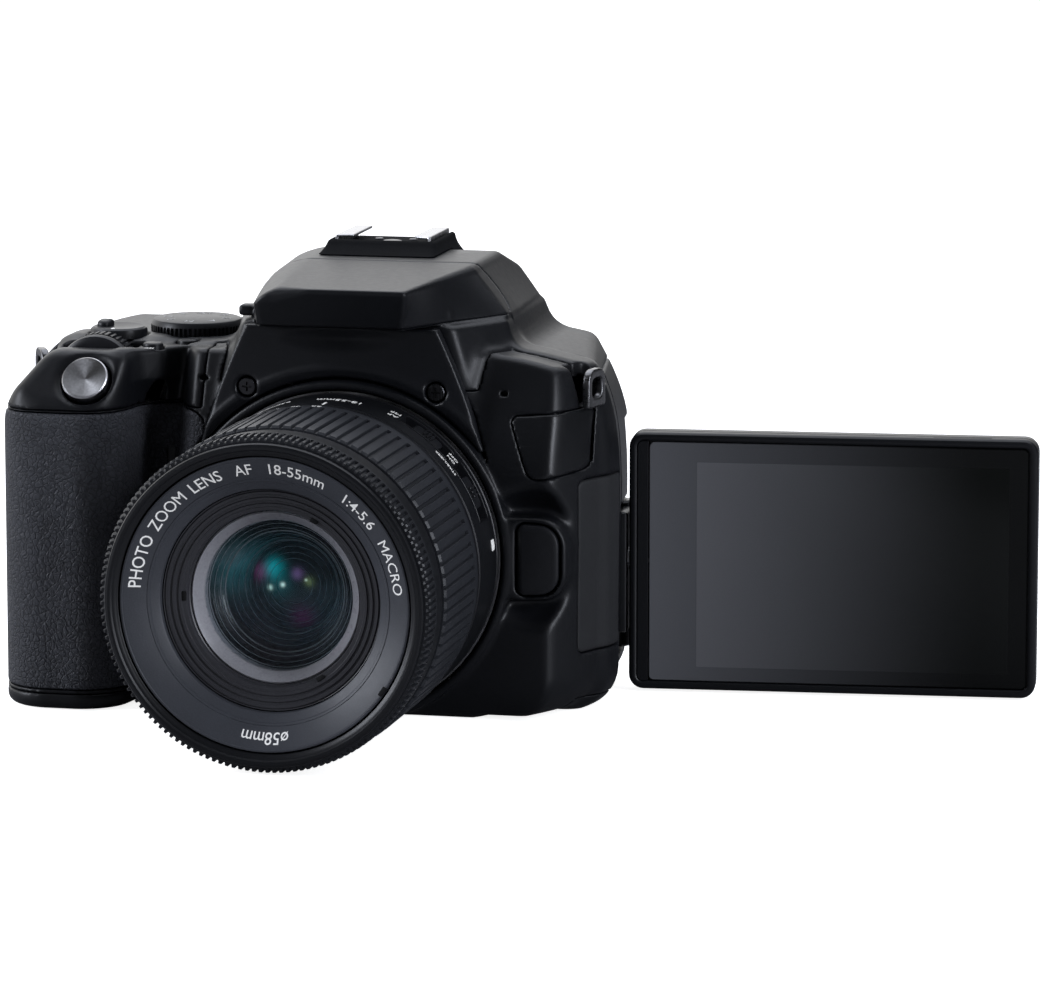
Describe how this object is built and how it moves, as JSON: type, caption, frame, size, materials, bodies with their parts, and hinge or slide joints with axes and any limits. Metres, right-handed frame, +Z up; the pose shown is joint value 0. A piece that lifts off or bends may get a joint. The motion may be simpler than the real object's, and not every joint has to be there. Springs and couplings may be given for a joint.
{
  "type": "digital slr camera",
  "caption": "Compact digital single-lens reflex camera with a standard zoom lens, pop-up flash and a swing-out turning screen.",
  "frame": {"origin": "on the base plate, directly below the optical axis, in the plane of the image sensor", "axes": "+X towards the screen hinge side (the viewer's left), +Y from the lens towards the back, +Z up"},
  "size_m": [0.2042, 0.122, 0.0926],
  "materials": {
    "shell": "fine grained charcoal black polycarbonate",
    "gloss_shell": "smooth black",
    "grip_rubber": "pebbled dark grey",
    "lens_plastic": "smooth black",
    "ring_plastic": "ribbed dark grey",
    "dark_metal": "blackened",
    "steel": "satin",
    "button_metal": "spun",
    "glass": "coated",
    "screen_glass": "gloss black cover glass",
    "mirror": "silvered",
    "sensor": "filter glass",
    "battery": "dark grey case"
  },
  "bodies": {
    "camera_body": {"chassis": "dark_metal", "front_cover": "shell", "rear_cover": "shell", "top_cover": "shell", "bottom_cover": "shell", "grip_rubber": "grip_rubber", "thumb_rubber": "grip_rubber", "shoe_plinth": "gloss_shell", "shoe_rails": "steel", "front_plate": "shell", "badge_plate": "gloss_shell", "plate_screw_left": "dark_metal", "plate_screw_right": "dark_metal", "strap_lug_left": "steel", "strap_lug_right": "steel", "mount_ring": "steel", "tripod_socket": "steel", "eyecup": "grip_rubber", "eyepiece_lens": "glass", "pentamirror": "mirror", "focusing_screen": "glass", "image_sensor": "sensor", "shutter_frame": "dark_metal", "battery": "battery", "lens_barrel": "lens_plastic"},
    "screen_arm": {"lcd_arm": "shell"},
    "screen": {"lcd_housing": "shell", "lcd_glass": "screen_glass"},
    "flash": {"flash_head": "shell"},
    "shutter_button": {"shutter_button": "button_metal"},
    "main_dial": {"main_dial": "shell"},
    "power_switch": {"power_switch": "shell"},
    "mode_dial": {"mode_dial": "shell"},
    "iso_button": {"iso_button": "shell"},
    "disp_button": {"disp_button": "shell"},
    "lens_release": {"lens_release_button": "shell"},
    "lock_pin": {"lens_lock_pin": "steel"},
    "reflex_mirror": {"reflex_mirror": "mirror"},
    "sub_mirror": {"sub_mirror": "mirror"},
    "shutter_curtain": {"shutter_curtain": "gloss_shell"},
    "diopter_dial": {"diopter_dial": "shell"},
    "menu_button": {"menu_button": "shell"},
    "info_button": {"info_button": "shell"},
    "live_view_button": {"live_view_button": "shell"},
    "exposure_button": {"exposure_button": "shell"},
    "ae_lock_button": {"ae_lock_button": "shell"},
    "af_point_button": {"af_point_button": "shell"},
    "control_pad": {"control_pad": "shell"},
    "set_button": {"set_button": "shell"},
    "playback_button": {"playback_button": "shell"},
    "erase_button": {"erase_button": "shell"},
    "battery_door": {"battery_door": "shell"},
    "remote_cover": {"remote_cover": "grip_rubber"},
    "hdmi_cover": {"hdmi_cover": "grip_rubber"},
    "zoom_ring": {"zoom_ring": "ring_plastic"},
    "front_barrel": {"front_barrel": "lens_plastic", "front_element": "glass"},
    "focus_ring": {"focus_ring": "lens_plastic"},
    "af_switch": {"af_switch": "shell"},
    "stabiliser_switch": {"stabiliser_switch": "shell"}
  },
  "joints": [
    {"name": "screen_swing", "type": "hinge", "parent": "camera_body", "child": "screen_arm", "pos_m": [0.047, 0.003, 0.02707], "axis": [0, 0, -1], "range_deg": [-175, 0]},
    {"name": "screen_turn", "type": "hinge", "parent": "screen_arm", "child": "screen", "pos_m": [0.05092, -0.00393, 0.02707], "axis": [-0.9962, -0.0872, 0], "range_deg": [0, 270]},
    {"name": "flash_lift", "type": "hinge", "parent": "camera_body", "child": "flash", "pos_m": [0, -0.0225, 0.0846], "axis": [-1, 0, 0], "range_deg": [0, 60]},
    {"name": "shutter_press", "type": "slide", "parent": "camera_body", "child": "shutter_button", "axis": [0, 0.8, -0.6], "range_m": [0, 0.0012]},
    {"name": "main_dial_turn", "type": "hinge", "parent": "camera_body", "child": "main_dial", "pos_m": [-0.0524, -0.0353, 0.0664], "axis": [0, 1, 0], "continuous": true},
    {"name": "power_turn", "type": "hinge", "parent": "camera_body", "child": "power_switch", "pos_m": [-0.051, -0.026, 0.074], "axis": [0, 0, -1], "range_deg": [0, 50]},
    {"name": "mode_dial_turn", "type": "hinge", "parent": "camera_body", "child": "mode_dial", "pos_m": [-0.0374, -0.0155, 0.074], "axis": [0, 0, 1], "continuous": true},
    {"name": "iso_press", "type": "slide", "parent": "camera_body", "child": "iso_button", "axis": [0, 0, -1], "range_m": [0, 0.0006]},
    {"name": "disp_press", "type": "slide", "parent": "camera_body", "child": "disp_button", "axis": [0, 0, -1], "range_m": [0, 0.0006]},
    {"name": "lens_release_press", "type": "slide", "parent": "camera_body", "child": "lens_release", "axis": [0, 1, 0], "range_m": [0, 0.0018]},
    {"name": "lock_pin_slide", "type": "slide", "parent": "camera_body", "child": "lock_pin", "axis": [0, 1, 0], "range_m": [0, 0.0018]},
    {"name": "mirror_lift", "type": "hinge", "parent": "camera_body", "child": "reflex_mirror", "pos_m": [0, -0.013, 0.0435], "axis": [-1, 0, 0], "range_deg": [0, 45]},
    {"name": "sub_mirror_fold", "type": "hinge", "parent": "reflex_mirror", "child": "sub_mirror", "pos_m": [0, -0.02024, 0.03306], "axis": [-1, 0, 0], "range_deg": [0, 90]},
    {"name": "curtain_travel", "type": "slide", "parent": "camera_body", "child": "shutter_curtain", "axis": [0, 0, -1], "range_m": [0, 0.0168]},
    {"name": "diopter_turn", "type": "hinge", "parent": "camera_body", "child": "diopter_dial", "pos_m": [-0.0226, 0.013, 0.0755], "axis": [0, 1, 0], "continuous": true},
    {"name": "menu_press", "type": "slide", "parent": "camera_body", "child": "menu_button", "axis": [0, -1, 0], "range_m": [0, 0.0006]},
    {"name": "info_press", "type": "slide", "parent": "camera_body", "child": "info_button", "axis": [0, -1, 0], "range_m": [0, 0.0006]},
    {"name": "live_view_press", "type": "slide", "parent": "camera_body", "child": "live_view_button", "axis": [0, -1, 0], "range_m": [0, 0.0006]},
    {"name": "exposure_press", "type": "slide", "parent": "camera_body", "child": "exposure_button", "axis": [0, -1, 0], "range_m": [0, 0.0006]},
    {"name": "ae_lock_press", "type": "slide", "parent": "camera_body", "child": "ae_lock_button", "axis": [0, -1, 0], "range_m": [0, 0.0006]},
    {"name": "af_point_press", "type": "slide", "parent": "camera_body", "child": "af_point_button", "axis": [0, -1, 0], "range_m": [0, 0.0006]},
    {"name": "pad_press", "type": "slide", "parent": "camera_body", "child": "control_pad", "axis": [0, -1, 0], "range_m": [0, 0.0005]},
    {"name": "set_press", "type": "slide", "parent": "camera_body", "child": "set_button", "axis": [0, -1, 0], "range_m": [0, 0.0006]},
    {"name": "playback_press", "type": "slide", "parent": "camera_body", "child": "playback_button", "axis": [0, -1, 0], "range_m": [0, 0.0006]},
    {"name": "erase_press", "type": "slide", "parent": "camera_body", "child": "erase_button", "axis": [0, -1, 0], "range_m": [0, 0.0006]},
    {"name": "battery_door_swing", "type": "hinge", "parent": "camera_body", "child": "battery_door", "pos_m": [-0.0472, -0.02425, 0.0003], "axis": [0, -1, 0], "range_deg": [0, 90]},
    {"name": "remote_cover_swing", "type": "hinge", "parent": "camera_body", "child": "remote_cover", "pos_m": [0.05176, -0.0208, 0.0305], "axis": [0, 0, -1], "range_deg": [-90, 0]},
    {"name": "hdmi_cover_swing", "type": "hinge", "parent": "camera_body", "child": "hdmi_cover", "pos_m": [-0.0702, 0.0002, 0.035], "axis": [0, 0, -1], "range_deg": [0, 90]},
    {"name": "zoom_turn", "type": "hinge", "parent": "camera_body", "child": "zoom_ring", "pos_m": [0, -0.0785, 0.033], "axis": [0, 1, 0], "range_deg": [0, 75]},
    {"name": "front_barrel_slide", "type": "slide", "parent": "camera_body", "child": "front_barrel", "axis": [0, -1, 0], "range_m": [0, 0.0132]},
    {"name": "focus_turn", "type": "hinge", "parent": "front_barrel", "child": "focus_ring", "pos_m": [0, -0.1, 0.033], "axis": [0, 1, 0], "continuous": true},
    {"name": "af_switch_slide", "type": "slide", "parent": "camera_body", "child": "af_switch", "axis": [-0.788, 0, 0.6157], "range_m": [0, 0.002]},
    {"name": "stabiliser_switch_slide", "type": "slide", "parent": "camera_body", "child": "stabiliser_switch", "axis": [-0.454, 0, 0.891], "range_m": [0, 0.002]}
  ],
  "couplings": [
    {"joint": "lock_pin_slide", "follows": "lens_release_press", "ratio": 1},
    {"joint": "sub_mirror_fold", "follows": "mirror_lift", "ratio": 2},
    {"joint": "front_barrel_slide", "follows": "zoom_turn", "m_per_rad": 0.01}
  ]
}
